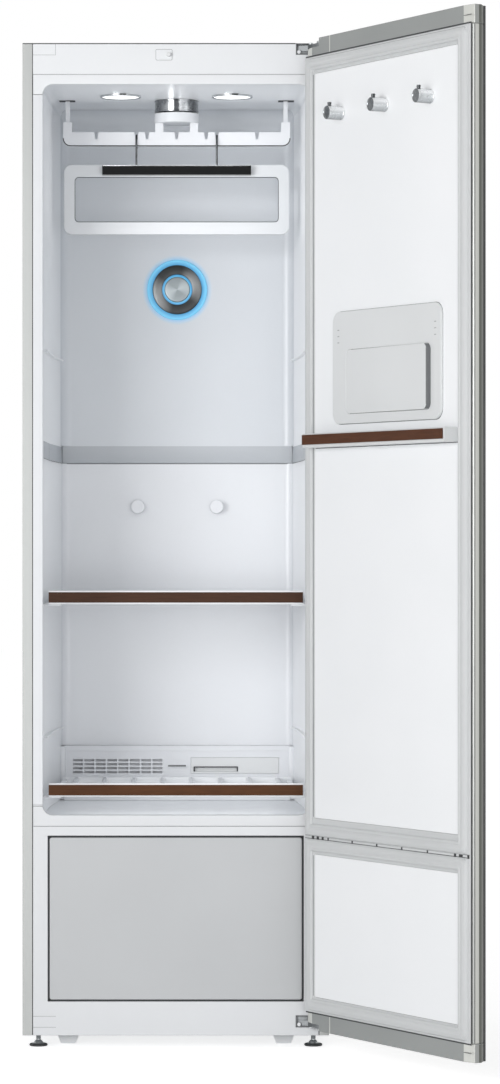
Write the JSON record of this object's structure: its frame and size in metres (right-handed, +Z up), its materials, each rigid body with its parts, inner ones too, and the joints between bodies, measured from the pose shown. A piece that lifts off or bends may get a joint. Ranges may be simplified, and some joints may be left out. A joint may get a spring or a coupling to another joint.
{
  "type": "steam clothes care cabinet",
  "caption": "Tall steel clothes care cabinet with its door open: shaken hanging rail, trouser hanger, steam nozzle, sliding shelves and a water drawer.",
  "frame": {"origin": "centre of the whole outline on the floor, with the door open as stored", "axes": "+Z up, +Y to the back, +X to the hinge side as seen from the front"},
  "size_m": [0.8684, 1.1028, 1.966],
  "materials": {
    "silver_sheet": "satin silver paint",
    "white_moulding": "glossy white",
    "chamber_liner": "glossy pale grey",
    "grey_moulding": "fine matt grey",
    "cap_moulding": "fine matt dark grey",
    "gasket_rubber": "soft matt",
    "bright_chrome": "polished",
    "brushed_steel": "spun",
    "zinc_sheet": "plain zinc-grey",
    "black_moulding": "satin black",
    "black_steel": "satin black",
    "dark_glass": "tinted, back-painted",
    "walnut_trim": "satin brown wood look",
    "lamp_diffuser": "milky, lit",
    "tank_plastic": "translucent pale blue",
    "fin_metal": "copper coloured"
  },
  "bodies": {
    "cabinet": {"side_panel_left": "silver_sheet", "side_panel_right": "silver_sheet", "top_panel": "silver_sheet", "rear_panel": "silver_sheet", "base_pan": "zinc_sheet", "top_front_cover": "white_moulding", "rim_top": "white_moulding", "rim_bottom": "white_moulding", "lower_frame": "white_moulding", "liner_left": "chamber_liner", "liner_right": "chamber_liner", "liner_ceiling": "chamber_liner", "liner_floor": "chamber_liner", "duct_cover": "chamber_liner", "liner_back_lower": "chamber_liner", "air_module": "chamber_liner", "lamp_left": "lamp_diffuser", "lamp_right": "lamp_diffuser", "drive_motor": "black_steel", "drive_collar": "bright_chrome", "steam_nozzle": "brushed_steel", "hinge_bracket_upper": "black_steel", "hinge_bracket_lower": "black_steel", "compressor": "black_steel", "heat_exchanger": "fin_metal", "steam_generator": "brushed_steel", "blower": "black_moulding", "control_box": "zinc_sheet", "skid_left": "grey_moulding", "skid_right": "grey_moulding"},
    "door": {"door_shell": "cap_moulding", "door_glass": "dark_glass", "door_cap_top": "cap_moulding", "door_cap_bottom": "cap_moulding", "door_liner_upper": "white_moulding", "door_liner_lower": "white_moulding", "door_gasket": "gasket_rubber", "door_hook_1": "bright_chrome", "door_hook_2": "bright_chrome", "door_hook_3": "bright_chrome", "aroma_case": "grey_moulding", "door_shelf": "grey_moulding", "door_shelf_trim": "walnut_trim"},
    "aroma_lid": {"aroma_lid": "grey_moulding"},
    "hanging_rail": {"hanger_rail": "white_moulding"},
    "drive_crank": {"drive_crank": "brushed_steel"},
    "trouser_hanger": {"trouser_clamp": "black_moulding", "trouser_frame": "white_moulding"},
    "water_drawer": {"drawer_front": "grey_moulding", "drawer_bin": "white_moulding", "supply_tank": "tank_plastic", "drain_tank": "tank_plastic"},
    "upper_shelf": {"upper_shelf": "white_moulding", "upper_shelf_trim": "walnut_trim"},
    "lower_rack": {"lower_rack": "white_moulding", "lower_rack_trim": "walnut_trim"},
    "lint_filter": {"lint_filter": "grey_moulding"},
    "foot_left": {"foot_left": "black_moulding"},
    "foot_right": {"foot_right": "black_moulding"},
    "switch_plunger": {"switch_plunger": "grey_moulding"}
  },
  "joints": [
    {"name": "door_hinge", "type": "hinge", "parent": "cabinet", "child": "door", "pos_m": [0.14881, -0.03158, 1], "axis": [0, 0, 1], "range_deg": [-119, 0]},
    {"name": "aroma_lid_hinge", "type": "hinge", "parent": "door", "child": "aroma_lid", "pos_m": [0.19183, -0.17809, 1.295], "axis": [0, 0, -1], "range_deg": [0, 60]},
    {"name": "crank_turn", "type": "hinge", "parent": "cabinet", "child": "drive_crank", "pos_m": [-0.13419, 0.29642, 1.873], "axis": [0, 0, 1], "range_deg": [-45, 45]},
    {"name": "rail_shake", "type": "slide", "parent": "cabinet", "child": "hanging_rail", "axis": [1, 0, 0], "range_m": [-0.0079, 0.0079]},
    {"name": "trouser_swing", "type": "hinge", "parent": "hanging_rail", "child": "trouser_hanger", "pos_m": [-0.13419, 0.29642, 1.7985], "axis": [1, 0, 0], "range_deg": [-10, 10]},
    {"name": "drawer_slide", "type": "slide", "parent": "cabinet", "child": "water_drawer", "axis": [0, -1, 0], "range_m": [0, 0.18]},
    {"name": "upper_shelf_slide", "type": "slide", "parent": "cabinet", "child": "upper_shelf", "axis": [0, -1, 0], "range_m": [0, 0.2]},
    {"name": "lower_rack_slide", "type": "slide", "parent": "cabinet", "child": "lower_rack", "axis": [0, -1, 0], "range_m": [0, 0.18]},
    {"name": "lint_filter_slide", "type": "slide", "parent": "cabinet", "child": "lint_filter", "axis": [0, -1, 0], "range_m": [0, 0.06]},
    {"name": "foot_left_turn", "type": "hinge", "parent": "cabinet", "child": "foot_left", "pos_m": [-0.40419, 0.04042, 0.02], "axis": [0, 0, 1], "continuous": true},
    {"name": "foot_right_turn", "type": "hinge", "parent": "cabinet", "child": "foot_right", "pos_m": [0.13581, 0.04042, 0.02], "axis": [0, 0, 1], "continuous": true},
    {"name": "switch_press", "type": "slide", "parent": "cabinet", "child": "switch_plunger", "axis": [0, 1, 0], "range_m": [0, 0.004], "stiffness_N_per_m": 200}
  ],
  "couplings": [
    {"joint": "rail_shake", "follows": "crank_turn", "m_per_rad": 0.009931}
  ]
}
